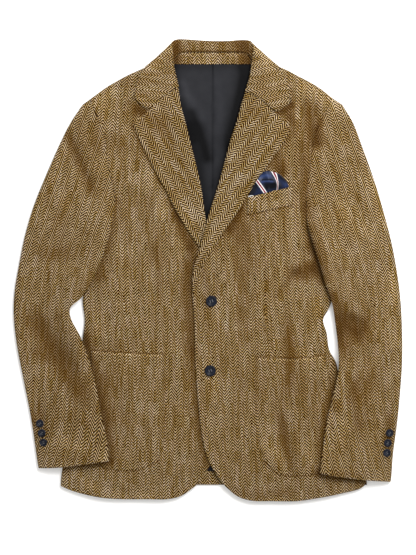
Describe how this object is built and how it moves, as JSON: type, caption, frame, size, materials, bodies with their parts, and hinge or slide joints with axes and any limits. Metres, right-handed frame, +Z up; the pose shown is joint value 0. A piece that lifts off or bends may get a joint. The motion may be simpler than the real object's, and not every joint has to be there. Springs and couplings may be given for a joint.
{
  "type": "suit jacket",
  "caption": "Tweed jacket laid flat and face up, with notch lapels, patch pockets, a chest welt and an open, lined body and sleeves.",
  "frame": {"origin": "on the surface that the jacket lies on, below the middle of its outline", "axes": "+X to the right as seen from above, +Y towards the collar, +Z up from the surface through the fronts"},
  "size_m": [0.681, 0.8034, 0.028],
  "materials": {
    "tweed": "woven wool, brown and tan herringbone, matt with a soft nap",
    "lining": "smooth dark charcoal lining, faint sheen",
    "satin": "navy satin with diagonal white and red stripes",
    "button": "glossy, near-black navy"
  },
  "bodies": {
    "root": {"back_left": "tweed", "back_right": "tweed", "front_left": "tweed", "front_right": "tweed", "sleeve_top_left": "tweed", "sleeve_top_right": "tweed", "sleeve_under_left": "tweed", "sleeve_under_right": "tweed", "lapel_left": "tweed", "lapel_right": "tweed", "collar": "tweed", "neck_facing": "tweed", "hem_facing": "tweed", "pocket_left": "tweed", "pocket_right": "tweed", "chest_welt": "tweed", "lining_back": "lining", "pocket_square": "satin", "button_front_1": "button", "button_front_2": "button", "button_cuff_left_1": "button", "button_cuff_left_2": "button", "button_cuff_left_3": "button", "button_cuff_right_1": "button", "button_cuff_right_2": "button", "button_cuff_right_3": "button"}
  },
  "joints": []
}
